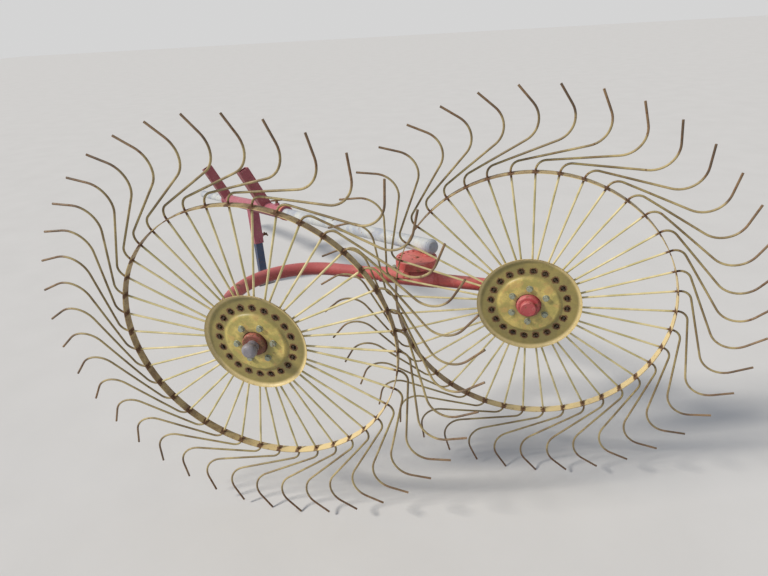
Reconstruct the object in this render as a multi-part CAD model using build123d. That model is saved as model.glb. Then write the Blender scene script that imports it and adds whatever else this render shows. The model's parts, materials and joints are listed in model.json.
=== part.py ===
# Two-wheel unit of a finger-wheel hay rake, in millimetres.
# +Z is up, the ground is Z = 0, X runs across the wheels to the right, and Y runs away from their front.
# Pieces are laid out from the point on the ground below the middle of the left wheel's rim. When they are
# saved, the whole unit moves so that the origin is on the ground below the middle of its outer box.
import os
from math import acos, atan2, cos, degrees, hypot, radians, sin

from build123d import *

os.makedirs("parts", exist_ok=True)

# Tine wheels
TINE_COUNT = 40
TINE_WIRE = 7.0
TIP_RADIUS = 732.0
TIP_ANGLE = 22.4            # the tip's lead over its own rim crossing, in degrees
TIP_FORWARD = 42.0          # the raking fingers stand this far in front of the rim plane
ELBOW_RADIUS = 499.5        # where the spoke turns into the run, just outside the rim
ELBOW_BEND = 34.0
RUN_ANGLE = 30.7            # the lead of the corner between the run and the raking finger, in degrees
FINGER_RISE = 114.0         # from that corner's circle out to the circle of the tips
RUN_BEND = 73.5
RIM_RADIUS = 465.0          # middle of the band
RIM_WIDTH = 28.0
RIM_THICKNESS = 3.0
WHEEL_LEAN = 3.5            # the wheels lean forward, in degrees
RIGHT_WHEEL_X = 843.0
RIGHT_WHEEL_Y = 370.0

# Discs and hubs
HOLE_CIRCLE = 127.5
HOLE_DIAMETER = 18.0
HOOK_BEND = 6.0
PAIR_SPREAD = 4.2           # each wire of a pair stands this far from the middle of its hole
DISC_RADIUS = 175.0
DISC_SHEET = 3.0
DISC_DISH = 7.5             # the middle of the disc stands forward of its tine ring
DISC_LIP = 10.0             # the rolled edge stands forward of the tine ring
DISC_BEND = 9.0
DISH_RADIUS = 108.0
CLAMP_DISC_RADIUS = 150.0
HUB_FLANGE_RADIUS = 75.0
HUB_FLANGE_PLATE = 8.0
HUB_RADIUS = 40.0
HUB_NOSE_RADIUS = 33.0      # the barrel's front edge is rounded down to this
HUB_FRONT = 29.0
HUB_TAIL_RADIUS = 30.0
HUB_BACK = 33.0
HUB_GAP = 3.0               # between the barrel and the disc's middle hole
CAP_NECK_RADIUS = 20.0      # the left cap is a ball on a short neck
CAP_NECK_LENGTH = 12.0
CAP_RADIUS = 25.0
CAP_LENGTH = 32.0
CAP_ROUND = 15.0
FLAT_CAP_RADIUS = 26.0
FLAT_CAP_LENGTH = 17.0
SPINDLE_RADIUS = 15.0
SPINDLE_FRONT = 24.0

# Arm
ARM_RADIUS = 24.0
ARM_WALL = 4.0
ARM_Y = 457.0
ARM_PIVOT_X = 439.0
ARM_PIVOT_RISE = 36.7       # above the wheels' axles
ARM_DROP = 0.062            # fall of the arm towards the right, per unit of length
ARM_BEND_AT = 117.0         # left of this the tube bends round to the front
ARM_BEND = 273.0
ARM_OVERHANG = 45.0         # past the right spindle
CRANK_WIDTH = 66.0
CRANK_PLATE = 12.0
LEFT_COLLAR_RADIUS = 29.0
LEFT_COLLAR_LENGTH = 70.0
RIGHT_COLLAR_RADIUS = 30.0
RIGHT_COLLAR_LENGTH = 12.0

# Swivel bracket
SLEEVE_RADIUS = 31.0
SLEEVE_LENGTH = 130.0
STRAP_WIDTH = 60.0
STRAP_PLATE = 10.0
STRAP_WEB = 18.0            # its upright part is thicker
STRAP_BEND = 24.0
STRAP_INSET = 22.0          # from the sleeve's left end
STRAP_REACH = 88.0
FLANGE_RADIUS = 75.0
FLANGE_PLATE = 12.0
FLANGE_RISE = 68.0          # top of the flange above the arm's pivot
INDEX_CIRCLE = 61.0
INDEX_HOLE = 11.0
INDEX_STEP = 20.0
INDEX_MIDDLE = 150.0        # the middle hole's direction, in degrees from the right
SWIVEL_PIN_RADIUS = 10.0
SWIVEL_NUT_FLATS = 30.0
SWIVEL_NUT_HEIGHT = 9.0

# Boom
BOOM_RADIUS = 27.0
BOOM_WALL = 4.0
BOOM_LENGTH = 3405.0
BOOM_AZIMUTH = 44.7         # the boom's heading, from the wheels' axis towards the left, in degrees
BOOM_SLOPE = 9.1            # its fall towards the hitch, in degrees
BOOM_OFFSET = 50.0          # it passes this far behind the swivel pin
BOOM_OVERHANG = 25.0        # past the swivel pin
BOOM_RISE = 31.0            # the boom's axis above the index plate, beside the swivel pin
INDEX_PLATE = 14.0
SADDLE_RADIUS = 18.0        # the boss that beds the boom on the index plate
RIGHT_BOSS_RADIUS = 25.0

# Hitch
HITCH_START = 1430.0        # the sleeve's near end, along the boom from the swivel pin
HITCH_LENGTH = 1240.0
HITCH_RADIUS = 38.0
HITCH_COLLAR_RADIUS = 42.0
HITCH_COLLAR_LENGTH = 26.0
RIGHT_BAR_AT = 1745.0
LEFT_BAR_SETBACK = 70.0     # from the sleeve's far end
BAR_WIDTH = 64.0
BAR_WALL = 5.0
BAR_LENGTH = 280.0
BAR_LEAN = 23.0
BAR_BORE_RADIUS = 13.0
BAR_BORE_RISE = 205.0
LEG_AT = 2060.0
LEG_WIDTH = 60.0
LEG_WALL = 5.0
LEG_LENGTH = 260.0          # of the outer tube, from the boom's axis down
LEG_INNER_WIDTH = 48.0
LEG_INNER_WALL = 4.0
LEG_OVERLAP = 85.0
FOOT_SIDE = 110.0
FOOT_PLATE = 8.0
SCREW_RADIUS = 8.0
SCREW_LENGTH = 46.0
SCREW_BAR_RADIUS = 5.0
SCREW_BAR_LENGTH = 70.0
BOOM_SCREW_AT = 1560.0

# Clearances
RUNNING = 0.06              # radial, a shaft that turns in its bore
SEAT = 0.4                  # between faces that slide on each other
SLIDE = 0.3                 # radial, the boom in the hitch sleeve
WIRE_SEAT = 0.1             # between the tine wires and the discs

TINE_STEP = 360 / TINE_COUNT
TINE_RADIUS = TINE_WIRE / 2


pieces = {}


def save(name, shape):
    pieces[name] = shape


def rod(radius, low, high):
    """Round bar along Z, from low to high."""
    return Pos(0, 0, low) * Cylinder(radius, high - low, align=(Align.CENTER, Align.CENTER, Align.MIN))


def pipe(radius, bore, low, high):
    return rod(radius, low, high) - rod(bore, low, high)


def turned(profile):
    """Solid of revolution about Z from (radius, height) points."""
    return revolve(Plane.XZ * make_face(Polyline(*profile, close=True)), axis=Axis.Z)


def hexagon(flats, low, high):
    return Pos(0, 0, low) * extrude(RegularPolygon(flats / 2, 6, major_radius=False), high - low)


def square_bar(width, low, high):
    return Pos(0, 0, low) * Box(width, width, high - low, align=(Align.CENTER, Align.CENTER, Align.MIN))


def box_tube(width, wall, low, high):
    return square_bar(width, low, high) - square_bar(width - 2 * wall, low, high)


# A wheel's own frame has X to the right, Y up in its plane and Z out of its front.
def wheel_frame(x, y, z):
    front = (0, -cos(radians(WHEEL_LEAN)), -sin(radians(WHEEL_LEAN)))
    return Plane(origin=(x, y, z), x_dir=(1, 0, 0), z_dir=front)


# Tines. Each spring wire hooks through a hole of the disc, runs out through the rim as a spoke, turns
# sharply along the rim, and ends in a finger that points out and a little back.
def turned_point(x, y, z, angle):
    """A point of the wheel's frame turned clockwise about its axis."""
    c, s = cos(radians(angle)), sin(radians(angle))
    return Vector(x * c + y * s, y * c - x * s, z)


def tine(hand):
    """One wire of a pair: hand is 1 for the leading wire and -1 for the trailing one."""
    crossing = hand * TINE_STEP / 2
    hook_front = WIRE_SEAT + TINE_RADIUS + DISC_SHEET + TINE_RADIUS
    hook_end = Vector(hand * PAIR_SPREAD, HOLE_CIRCLE, hook_front)
    hook = Vector(hand * PAIR_SPREAD, HOLE_CIRCLE, 0)
    elbow = turned_point(0, ELBOW_RADIUS, 0, crossing)
    corner = turned_point(0, TIP_RADIUS - FINGER_RISE, TIP_FORWARD, crossing + RUN_ANGLE)
    tip = turned_point(0, TIP_RADIUS, TIP_FORWARD, crossing + TIP_ANGLE)
    path = FilletPolyline(hook_end, hook, elbow, corner, tip, radius=(HOOK_BEND, ELBOW_BEND, RUN_BEND))
    return sweep(Plane(path @ 0, z_dir=path % 0) * Circle(TINE_RADIUS), path=path)


def tine_wheel():
    half = RIM_WIDTH / 2
    rim = pipe(RIM_RADIUS + RIM_THICKNESS / 2, RIM_RADIUS - RIM_THICKNESS / 2, -half, half)
    pair = [tine(1), tine(-1)]
    wires = [Rot(0, 0, -2 * TINE_STEP * i) * wire for i in range(TINE_COUNT // 2) for wire in pair]
    return rim.fuse(*wires)


# The wheels rest on two neighbouring tips each, so the rest angle puts a gap between tips straight down.
REST_TURN = Rot(0, 0, -((180 - TIP_ANGLE) % TINE_STEP))
wheel = REST_TURN * tine_wheel()
WHEEL_Z = -(wheel_frame(0, 0, 0).location * wheel).bounding_box().min.Z
LEFT_FRAME = wheel_frame(0, 0, WHEEL_Z)
RIGHT_FRAME = wheel_frame(RIGHT_WHEEL_X, RIGHT_WHEEL_Y, WHEEL_Z)
ARM_PIVOT_Z = WHEEL_Z + ARM_PIVOT_RISE


def arm_point(x):
    return Vector(x, ARM_Y, ARM_PIVOT_Z - ARM_DROP * (x - ARM_PIVOT_X))


ARM_DIRECTION = Vector(1, 0, -ARM_DROP).normalized()
ARM_FRAME = Plane(origin=arm_point(ARM_PIVOT_X), x_dir=(0, 1, 0), z_dir=ARM_DIRECTION)

FLANGE_TOP = ARM_PIVOT_Z + FLANGE_RISE
INDEX_TOP = FLANGE_TOP + SEAT + INDEX_PLATE
SWIVEL_FRAME = Plane(origin=(ARM_PIVOT_X, ARM_Y, 0), x_dir=(1, 0, 0), z_dir=(0, 0, 1))

# The boom's own frame has Z along it towards the hitch, X to its side and Y up.
level = cos(radians(BOOM_SLOPE))
BOOM_DIRECTION = Vector(
    -level * sin(radians(BOOM_AZIMUTH)),
    level * cos(radians(BOOM_AZIMUTH)),
    -sin(radians(BOOM_SLOPE)),
)
BOOM_SIDE = Vector(-cos(radians(BOOM_AZIMUTH)), -sin(radians(BOOM_AZIMUTH)), 0)
boom_start = Vector(ARM_PIVOT_X, ARM_Y, INDEX_TOP + BOOM_RISE) - BOOM_SIDE * BOOM_OFFSET
BOOM_FRAME = Plane(origin=boom_start, x_dir=BOOM_SIDE, z_dir=BOOM_DIRECTION)


def along_boom(distance):
    return BOOM_FRAME.origin + BOOM_DIRECTION * distance


# The discs grip the tines between them. Heights are in front of the rim plane.
SEAT_HEIGHT = TINE_RADIUS + WIRE_SEAT
DISH_HEIGHT = SEAT_HEIGHT + DISC_DISH
FLANGE_FRONT = DISH_HEIGHT
FLANGE_BACK = FLANGE_FRONT - HUB_FLANGE_PLATE


def pressed(*profile):
    """A disc pressed from sheet: the profile is its back face, as (radius, height) points."""
    back = FilletPolyline(*profile, radius=DISC_BEND)
    front = Pos(0, DISC_SHEET) * back
    outline = back.edges() + front.edges() + [Line(back @ 0, front @ 0), Line(back @ 1, front @ 1)]
    return revolve(Plane.XZ * make_face(outline), axis=Axis.Z)


def front_disc():
    disc = pressed(
        (HUB_RADIUS + HUB_GAP, DISH_HEIGHT),
        (DISH_RADIUS - DISC_DISH, DISH_HEIGHT),
        (DISH_RADIUS, SEAT_HEIGHT),
        (DISC_RADIUS - DISC_LIP / 2, SEAT_HEIGHT),
        (DISC_RADIUS, SEAT_HEIGHT + DISC_LIP),
    )
    hole = Pos(0, HOLE_CIRCLE, 0) * rod(HOLE_DIAMETER / 2, SEAT_HEIGHT - 1, SEAT_HEIGHT + DISC_SHEET + 1)
    return disc - [Rot(0, 0, -2 * TINE_STEP * i) * hole for i in range(TINE_COUNT // 2)]


def clamp_disc():
    return pressed(
        (HUB_TAIL_RADIUS + WIRE_SEAT, FLANGE_BACK - DISC_SHEET),
        (DISH_RADIUS - DISC_DISH, FLANGE_BACK - DISC_SHEET),
        (DISH_RADIUS, -SEAT_HEIGHT - DISC_SHEET),
        (CLAMP_DISC_RADIUS, -SEAT_HEIGHT - DISC_SHEET),
    )


def hub():
    nose = HUB_RADIUS - HUB_NOSE_RADIUS
    barrel = rod(HUB_RADIUS, FLANGE_BACK, HUB_FRONT)
    barrel = fillet(barrel.edges().group_by(Axis.Z)[-1], nose)
    tail = rod(HUB_TAIL_RADIUS, -HUB_BACK, FLANGE_BACK)
    flange = rod(HUB_FLANGE_RADIUS, FLANGE_BACK, FLANGE_FRONT)
    return barrel + tail + flange - rod(SPINDLE_RADIUS + RUNNING, -HUB_BACK - 1, HUB_FRONT + 1)


def ball_cap():
    neck_end = HUB_FRONT + CAP_NECK_LENGTH
    ball = rod(CAP_RADIUS, neck_end, neck_end + CAP_LENGTH)
    ball = fillet(ball.edges().filter_by(GeomType.CIRCLE), CAP_ROUND)
    return ball + rod(CAP_NECK_RADIUS, HUB_FRONT, neck_end + 1)


def flat_cap():
    cap = rod(FLAT_CAP_RADIUS, HUB_FRONT, HUB_FRONT + FLAT_CAP_LENGTH)
    return chamfer(cap.edges().group_by(Axis.Z)[-1], 2)


PLATE_FRONT = -HUB_BACK - SEAT


def spindle(back):
    """Stub axle from its weld at the back to its end inside the hub."""
    return rod(SPINDLE_RADIUS, back, SPINDLE_FRONT)


for side, frame, cap in (("left", LEFT_FRAME, ball_cap()), ("right", RIGHT_FRAME, flat_cap())):
    save(f"{side}_tine_wheel", frame.location * wheel)
    save(f"{side}_front_disc", frame.location * REST_TURN * front_disc())
    save(f"{side}_clamp_disc", frame.location * clamp_disc())
    save(f"{side}_hub", frame.location * hub())
    save(f"{side}_hub_cap", frame.location * cap)

# Arm: one tube, bent round at the left to end on the back of the crank plate, straight through the pivot
# sleeve, and welded to the boss of the right spindle.
crank_back = PLATE_FRONT - CRANK_PLATE
bend_frame = Plane(
    origin=arm_point(ARM_BEND_AT), x_dir=-ARM_DIRECTION, z_dir=(-ARM_DIRECTION).cross(Vector(0, -1, 0))
)
bend_turn = acos(1 - (ARM_Y + crank_back) / ARM_BEND)
bend_foot = Vector(ARM_BEND * sin(bend_turn), ARM_BEND * (1 - cos(bend_turn)), 0)
tube_foot = LEFT_FRAME.to_local_coords(bend_frame.from_local_coords(bend_foot))
crank_angle = degrees(atan2(tube_foot.Y, tube_foot.X))
crank_reach = hypot(tube_foot.X, tube_foot.Y)
crank_outline = Pos(crank_reach / 2, 0) * SlotCenterToCenter(crank_reach, CRANK_WIDTH)
crank = extrude(Rot(0, 0, crank_angle) * crank_outline, CRANK_PLATE)
crank = LEFT_FRAME.location * Pos(0, 0, crank_back) * crank
save("left_crank_plate", crank)

arm_end = arm_point(RIGHT_WHEEL_X + ARM_OVERHANG)
straight = Line(arm_end, arm_point(ARM_BEND_AT))
bend = bend_frame.location * JernArc((0, 0), (1, 0), ARM_BEND, degrees(bend_turn + ARM_RADIUS / ARM_BEND))
arm_path = straight + bend
arm_start_plane = Plane(straight @ 0, z_dir=straight % 0)
arm_solid = sweep(arm_start_plane * Circle(ARM_RADIUS), path=arm_path)
arm_bore = sweep(arm_start_plane * Circle(ARM_RADIUS - ARM_WALL), path=arm_path)
in_front_of_crank = rod(CRANK_WIDTH, crank_back, crank_back + 3 * ARM_RADIUS)
in_front_of_crank = LEFT_FRAME.location * Pos(tube_foot.X, tube_foot.Y, 0) * in_front_of_crank
save("arm_tube", arm_solid - arm_bore - in_front_of_crank)

end_frame = Plane(origin=arm_end, z_dir=ARM_DIRECTION)
save("arm_end_cap", end_frame.location * rod(ARM_RADIUS, 0, 4))

save("left_spindle", LEFT_FRAME.location * spindle(PLATE_FRONT))
boss_depth = ARM_Y - RIGHT_WHEEL_Y
right_boss = RIGHT_FRAME.location * rod(RIGHT_BOSS_RADIUS, -boss_depth, PLATE_FRONT)
save("right_boss", right_boss - arm_solid)
save("right_spindle", RIGHT_FRAME.location * spindle(PLATE_FRONT))

half_sleeve = SLEEVE_LENGTH / 2
collar_start = half_sleeve + SEAT
left_collar = pipe(LEFT_COLLAR_RADIUS, ARM_RADIUS, -collar_start - LEFT_COLLAR_LENGTH, -collar_start)
save("left_collar", ARM_FRAME.location * left_collar)
right_collar = pipe(RIGHT_COLLAR_RADIUS, ARM_RADIUS, collar_start, collar_start + RIGHT_COLLAR_LENGTH)
save("right_collar", ARM_FRAME.location * right_collar)

# Swivel bracket: the sleeve that the arm rocks in, a C-shaped strap, and the round flange it carries.
sleeve = ARM_FRAME.location * pipe(SLEEVE_RADIUS, ARM_RADIUS + RUNNING, -half_sleeve, half_sleeve)
save("pivot_sleeve", sleeve)

flange_bottom = FLANGE_TOP - FLANGE_PLATE
strap_left = ARM_PIVOT_X - half_sleeve + STRAP_INSET
strap_right = strap_left + STRAP_REACH
strap_inner = strap_left + STRAP_WEB
strap_under = flange_bottom - STRAP_PLATE
strap_outer = FilletPolyline(
    (strap_left, ARM_PIVOT_Z), (strap_left, flange_bottom), (strap_right, flange_bottom), radius=STRAP_BEND
)
strap_inside = FilletPolyline(
    (strap_inner, ARM_PIVOT_Z),
    (strap_inner, strap_under),
    (strap_right, strap_under),
    radius=STRAP_BEND - STRAP_WEB,
)
strap_ends = [Line(strap_outer @ 0, strap_inside @ 0), Line(strap_outer @ 1, strap_inside @ 1)]
strap_face = make_face(strap_outer.edges() + strap_inside.edges() + strap_ends)
strap = Plane.XZ.offset(-ARM_Y - STRAP_WIDTH / 2) * extrude(strap_face, STRAP_WIDTH)
sleeve_outside = ARM_FRAME.location * rod(SLEEVE_RADIUS, -SLEEVE_LENGTH, SLEEVE_LENGTH)
pin_bore = SWIVEL_FRAME.location * rod(SWIVEL_PIN_RADIUS + RUNNING, strap_under - 1, FLANGE_TOP + 1)
save("bracket_strap", strap - sleeve_outside - pin_bore)


def index_holes(low, high, count):
    hole = Pos(INDEX_CIRCLE, 0, 0) * rod(INDEX_HOLE / 2, low - 1, high + 1)
    first = INDEX_MIDDLE - INDEX_STEP * (count - 1) / 2
    return [Rot(0, 0, first + INDEX_STEP * i) * hole for i in range(count)]


flange = rod(FLANGE_RADIUS, flange_bottom, FLANGE_TOP) - index_holes(flange_bottom, FLANGE_TOP, 5)
save("bracket_flange", SWIVEL_FRAME.location * flange - pin_bore)

# Boom: a long round tube that ends over the bracket on an index plate, behind the swivel pin.
boom_end = BOOM_LENGTH - BOOM_OVERHANG
boom_outside = BOOM_FRAME.location * rod(BOOM_RADIUS, -BOOM_OVERHANG, boom_end)
boom_inside = BOOM_FRAME.location * rod(BOOM_RADIUS - BOOM_WALL, -BOOM_OVERHANG, boom_end)
save("boom_tube", boom_outside - boom_inside)

near_cap = Pos(0, 0, -BOOM_OVERHANG) * Rot(180, 0, 0) * turned(
    [(0, 0), (BOOM_RADIUS, 0), (BOOM_RADIUS - 1, 7), (BOOM_RADIUS - 8, 14), (0, 17)]
)
save("boom_near_cap", BOOM_FRAME.location * near_cap)
save("boom_far_cap", BOOM_FRAME.location * rod(BOOM_RADIUS, boom_end, boom_end + 4))

index_bottom = FLANGE_TOP + SEAT
index_plate = rod(FLANGE_RADIUS, index_bottom, INDEX_TOP) - index_holes(index_bottom, INDEX_TOP, 5)
index_plate = SWIVEL_FRAME.location * index_plate
pin_low = strap_under - SEAT - SWIVEL_NUT_HEIGHT
pin_high = INDEX_TOP + 2
swivel_pin = SWIVEL_FRAME.location * rod(SWIVEL_PIN_RADIUS, pin_low, pin_high)
save("index_plate", index_plate - swivel_pin - boom_outside)
saddle_place = along_boom(-BOOM_OVERHANG / 4)
saddle = Pos(saddle_place.X, saddle_place.Y, 0) * rod(SADDLE_RADIUS, INDEX_TOP, INDEX_TOP + BOOM_RISE)
save("boom_boss", saddle - boom_outside)
save("swivel_pin", swivel_pin - boom_outside)
nut_high = strap_under - SEAT
swivel_nut = SWIVEL_FRAME.location * hexagon(SWIVEL_NUT_FLATS, nut_high - SWIVEL_NUT_HEIGHT, nut_high)
save("swivel_nut", swivel_nut - swivel_pin)

# Hitch: a sleeve round the boom with two slanted hollow bars, a leg tube and two clamp screws.
sleeve_bore = BOOM_RADIUS + SLIDE
hitch_end = HITCH_START + HITCH_LENGTH
left_bar_at = hitch_end - LEFT_BAR_SETBACK
hitch_outside = BOOM_FRAME.location * rod(HITCH_RADIUS, HITCH_START, hitch_end)
boom_screw_hole = rod(SCREW_RADIUS, 0, HITCH_RADIUS + SCREW_LENGTH)
boom_screw_hole = Plane(along_boom(BOOM_SCREW_AT), z_dir=BOOM_FRAME.y_dir).location * boom_screw_hole
hitch_sleeve = BOOM_FRAME.location * pipe(HITCH_RADIUS, sleeve_bore, HITCH_START, hitch_end)
save("hitch_sleeve", hitch_sleeve - boom_screw_hole)
collars = (
    ("near_hitch_collar", HITCH_START),
    ("far_hitch_collar", hitch_end - HITCH_COLLAR_LENGTH),
)
for name, low in collars:
    save(name, BOOM_FRAME.location * pipe(HITCH_COLLAR_RADIUS, HITCH_RADIUS, low, low + HITCH_COLLAR_LENGTH))

bar_up = BOOM_FRAME.y_dir * cos(radians(BAR_LEAN)) + BOOM_SIDE * sin(radians(BAR_LEAN))
for name, distance in (("right_hitch_bar", RIGHT_BAR_AT), ("left_hitch_bar", left_bar_at)):
    bar_frame = Plane(origin=along_boom(distance), x_dir=BOOM_DIRECTION, z_dir=bar_up)
    bar = box_tube(BAR_WIDTH, BAR_WALL, 0, BAR_LENGTH)
    bar -= Pos(0, -BAR_WIDTH, BAR_BORE_RISE) * Rot(-90, 0, 0) * rod(BAR_BORE_RADIUS, 0, 2 * BAR_WIDTH)
    save(name, bar_frame.location * bar - hitch_outside)

leg_top = along_boom(LEG_AT)
leg_frame = Plane(origin=(leg_top.X, leg_top.Y, 0), x_dir=BOOM_SIDE, z_dir=(0, 0, 1))
leg_bottom = leg_top.Z - LEG_LENGTH
leg_screw_height = leg_bottom + 45
screw_line = Pos(0, 0, leg_screw_height) * Rot(0, -90, 0)
leg_tube = box_tube(LEG_WIDTH, LEG_WALL, leg_bottom, leg_top.Z)
leg_tube -= screw_line * rod(SCREW_RADIUS, 0, LEG_WIDTH)
save("leg_tube", leg_frame.location * leg_tube - hitch_outside)

inner_leg = box_tube(LEG_INNER_WIDTH, LEG_INNER_WALL, FOOT_PLATE, leg_bottom + LEG_OVERLAP)
save("stand_leg", leg_frame.location * inner_leg)
save("foot_plate", leg_frame.location * square_bar(FOOT_SIDE, 0, FOOT_PLATE))


def clamp_screw():
    """Set screw with a cross bar: its point is at Z = 0 and its bar at the far end."""
    screw = rod(SCREW_RADIUS, 0, SCREW_LENGTH)
    bar = Pos(0, 0, SCREW_LENGTH - SCREW_RADIUS) * Rot(90, 0, 0)
    return screw + bar * rod(SCREW_BAR_RADIUS, -SCREW_BAR_LENGTH / 2, SCREW_BAR_LENGTH / 2)


leg_screw_place = leg_frame.location * screw_line * Pos(0, 0, LEG_INNER_WIDTH / 2 + SEAT)
save("leg_clamp_screw", leg_screw_place * clamp_screw())
boom_screw_frame = Plane(along_boom(BOOM_SCREW_AT), z_dir=BOOM_FRAME.y_dir)
save("boom_clamp_screw", boom_screw_frame.location * Pos(0, 0, BOOM_RADIUS + SEAT) * clamp_screw())

outer_box = Compound(list(pieces.values())).bounding_box()
middle = outer_box.center()
to_middle = Pos(-middle.X, -middle.Y, -outer_box.min.Z)
for name, shape in pieces.items():
    export_step(to_middle * shape, f"parts/{name}.step")
print("moved by", to_middle.position)
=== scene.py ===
import json
from math import atan2, cos, pi, radians, sin, sqrt, tan

import bpy
from mathutils import Matrix, Vector


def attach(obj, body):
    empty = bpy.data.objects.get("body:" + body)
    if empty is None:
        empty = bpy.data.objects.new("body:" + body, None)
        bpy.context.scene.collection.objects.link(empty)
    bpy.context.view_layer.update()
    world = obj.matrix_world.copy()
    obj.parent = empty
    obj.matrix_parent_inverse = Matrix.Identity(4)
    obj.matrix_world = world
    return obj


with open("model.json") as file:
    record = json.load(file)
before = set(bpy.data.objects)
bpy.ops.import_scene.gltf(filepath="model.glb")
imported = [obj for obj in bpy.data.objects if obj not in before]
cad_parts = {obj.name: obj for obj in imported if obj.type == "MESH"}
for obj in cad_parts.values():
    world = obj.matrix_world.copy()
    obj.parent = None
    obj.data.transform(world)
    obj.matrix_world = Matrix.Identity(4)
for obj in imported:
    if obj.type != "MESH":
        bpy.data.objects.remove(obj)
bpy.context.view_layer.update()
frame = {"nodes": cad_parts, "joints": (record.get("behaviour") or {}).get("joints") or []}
nodes = frame["nodes"]
joints = {j["name"]: j for j in frame["joints"]}

# The view: a standing person's eye, in front of the gap between the wheels, looking down and to the left.
# It is set from the left wheel's axle. The lens is given by its focal length on the frame, in pixels.
FOCAL_LENGTH = 590
FRAME_WIDTH = 768
EYE_FROM_AXLE = Vector((0.84107, -1.49005, 0.93789))
left_axle = Vector(joints["left_wheel_spin"]["pos_m"])
lens = bpy.data.cameras.new("lens")
lens.sensor_width = 36
lens.lens = FOCAL_LENGTH / FRAME_WIDTH * lens.sensor_width
lens.clip_end = 200
looking = Vector((-0.2380, 0.8729, -0.4259)).normalized()
rightward = Vector((0.9701, 0.2353, -0.0600))
rightward = (rightward - rightward.dot(looking) * looking).normalized()
view_axes = Matrix((rightward, rightward.cross(looking), -looking)).transposed().to_4x4()
eye = bpy.data.objects.new("eye", lens)
eye.matrix_world = Matrix.Translation(left_axle + EYE_FROM_AXLE) @ view_axes
bpy.context.scene.collection.objects.link(eye)
bpy.context.scene.camera = eye
bpy.context.scene.view_settings.view_transform = "Standard"

# The yard is a plain pale floor under an even pale sky, with one soft sun from the upper left. The sky is
# bluer and dimmer as a light on the unit than as a backdrop.
FLOOR_REACH = 40.0
SKY_STRENGTH = 0.66
TOWARDS_SUN = Vector((-0.76, -0.44, 0.68))


def put(tree, kind, settings=None, *values, **named):
    """Adds a node. Plain values go to its inputs in order, and named ones to the inputs of that name."""
    node = tree.nodes.new(kind)
    for key, value in (settings or {}).items():
        setattr(node, key, value)
    pairs = [(node.inputs[i], v) for i, v in enumerate(values) if v is not None]
    pairs += [(node.inputs[k.replace("_", " ")], v) for k, v in named.items()]
    for socket, value in pairs:
        if isinstance(value, bpy.types.NodeSocket):
            tree.links.new(value, socket)
        else:
            socket.default_value = value
    return node


def sums(tree, operation, *values, clamp=False):
    return put(tree, "ShaderNodeMath", {"operation": operation, "use_clamp": clamp}, *values).outputs[0]


def ramp(tree, value, low, high, at_low=0.0, at_high=1.0):
    """Goes smoothly from at_low to at_high as the value goes from low to high."""
    settings = {"interpolation_type": "SMOOTHSTEP"}
    return put(tree, "ShaderNodeMapRange", settings, value, low, high, at_low, at_high).outputs[0]


def mixed(tree, factor, first, second):
    node = put(tree, "ShaderNodeMix", {"data_type": "RGBA"})
    for index, value in ((0, factor), (6, first), (7, second)):
        if isinstance(value, bpy.types.NodeSocket):
            tree.links.new(value, node.inputs[index])
        else:
            node.inputs[index].default_value = value
    return node.outputs[2]


def surface(name):
    """A new material with its Principled shader, its tree and its Object coordinates."""
    material = bpy.data.materials.new(name)
    material.use_nodes = True
    tree = material.node_tree
    shader = tree.nodes["Principled BSDF"]
    return material, tree, shader, put(tree, "ShaderNodeTexCoord").outputs["Object"]


def plug(tree, shader, name, value):
    tree.links.new(value, shader.inputs[name])


floor_mesh = bpy.data.meshes.new("yard_floor")
corners = [(x * FLOOR_REACH, y * FLOOR_REACH, 0) for x, y in ((-1, -1), (1, -1), (1, 1), (-1, 1))]
floor_mesh.from_pydata(corners, [], [(0, 1, 2, 3)])
floor = bpy.data.objects.new("yard_floor", floor_mesh)
bpy.context.scene.collection.objects.link(floor)
floor_paint, tree, shader, place = surface("pale_floor")
speck = put(tree, "ShaderNodeTexNoise", None, place, Scale=3.0, Detail=8.0).outputs[0]
plug(tree, shader, "Base Color", mixed(tree, speck, (0.60, 0.59, 0.57, 1), (0.66, 0.65, 0.63, 1)))
shader.inputs["Roughness"].default_value = 0.95
shader.inputs["Specular IOR Level"].default_value = 0.1
floor_mesh.materials.append(floor_paint)

sky = bpy.data.worlds.new("pale_sky")
sky.use_nodes = True
bpy.context.scene.world = sky
tree = sky.node_tree
rays = put(tree, "ShaderNodeLightPath")
seen = sums(tree, "MAXIMUM", rays.outputs["Is Camera Ray"], rays.outputs["Is Glossy Ray"])
lit = tree.nodes["Background"]
tree.links.new(mixed(tree, seen, (0.60, 0.64, 0.72, 1), (1.0, 1.0, 1.0, 1)), lit.inputs[0])
lit.inputs[1].default_value = SKY_STRENGTH

sun_lamp = bpy.data.lights.new("sun", "SUN")
sun_lamp.energy = 3.1
sun_lamp.angle = radians(8)
sun_lamp.color = (1.0, 0.95, 0.88)
sun = bpy.data.objects.new("sun", sun_lamp)
sun.matrix_world = TOWARDS_SUN.to_track_quat("Z", "Y").to_matrix().to_4x4()
bpy.context.scene.collection.objects.link(sun)

# Rust is on every painted piece of the unit: brown freckles that grow into patches, with an orange bloom
# at their edge and a coarse, pitted face. Where the share is 1 the steel is rusty all over.


def group(name, inputs, outputs):
    """A new shader node group. Each input is (name, kind, value), and each output is (name, kind)."""
    tree = bpy.data.node_groups.new(name, "ShaderNodeTree")
    for label, kind, value in inputs:
        socket = tree.interface.new_socket(label, in_out="INPUT", socket_type="NodeSocket" + kind)
        if value is not None:
            socket.default_value = value
    for label, kind in outputs:
        tree.interface.new_socket(label, in_out="OUTPUT", socket_type="NodeSocket" + kind)
    return tree, put(tree, "NodeGroupInput").outputs, put(tree, "NodeGroupOutput").inputs


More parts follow.
